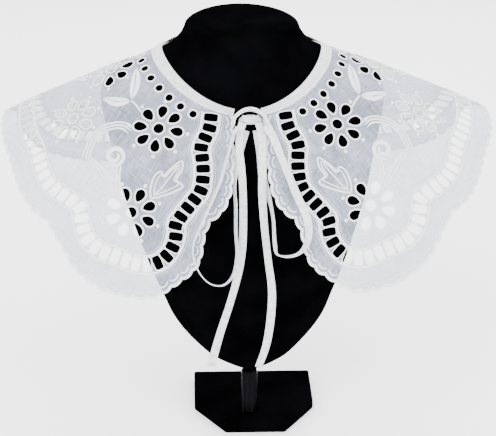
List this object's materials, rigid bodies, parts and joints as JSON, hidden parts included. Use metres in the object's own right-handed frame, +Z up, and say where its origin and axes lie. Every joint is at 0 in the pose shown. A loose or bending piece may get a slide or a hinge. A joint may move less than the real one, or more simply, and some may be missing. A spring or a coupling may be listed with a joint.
{
  "type": "false collar on a display bust",
  "caption": "Cape-style false collar of white eyelet cotton with a scalloped hem and a bow at the neck, on a black velvet display bust.",
  "frame": {"origin": "under the middle of the box round everything but the ties, on the base plate's underside", "axes": "+X to the bust's left (right in a front view), +Y towards the back, +Z up; the bow faces -Y"},
  "size_m": [0.4556, 0.2566, 0.3819],
  "materials": {
    "eyelet_cotton": "thin white voile with satin-stitch embroidery, matt",
    "cotton_tape": "folded white cotton tape, matt",
    "black_velvet": "black velvet, deep matt with a faint sheen at the edges",
    "dark_gloss": "dark polished"
  },
  "bodies": {
    "root": {"collar_right": "eyelet_cotton", "collar_left": "eyelet_cotton", "neck_binding": "cotton_tape", "tail_left": "cotton_tape", "tail_right": "cotton_tape", "loop_left": "cotton_tape", "loop_right": "cotton_tape", "knot": "cotton_tape", "knot_core": "cotton_tape", "bust": "black_velvet", "base_plate": "black_velvet", "stem": "dark_gloss"}
  },
  "joints": []
}
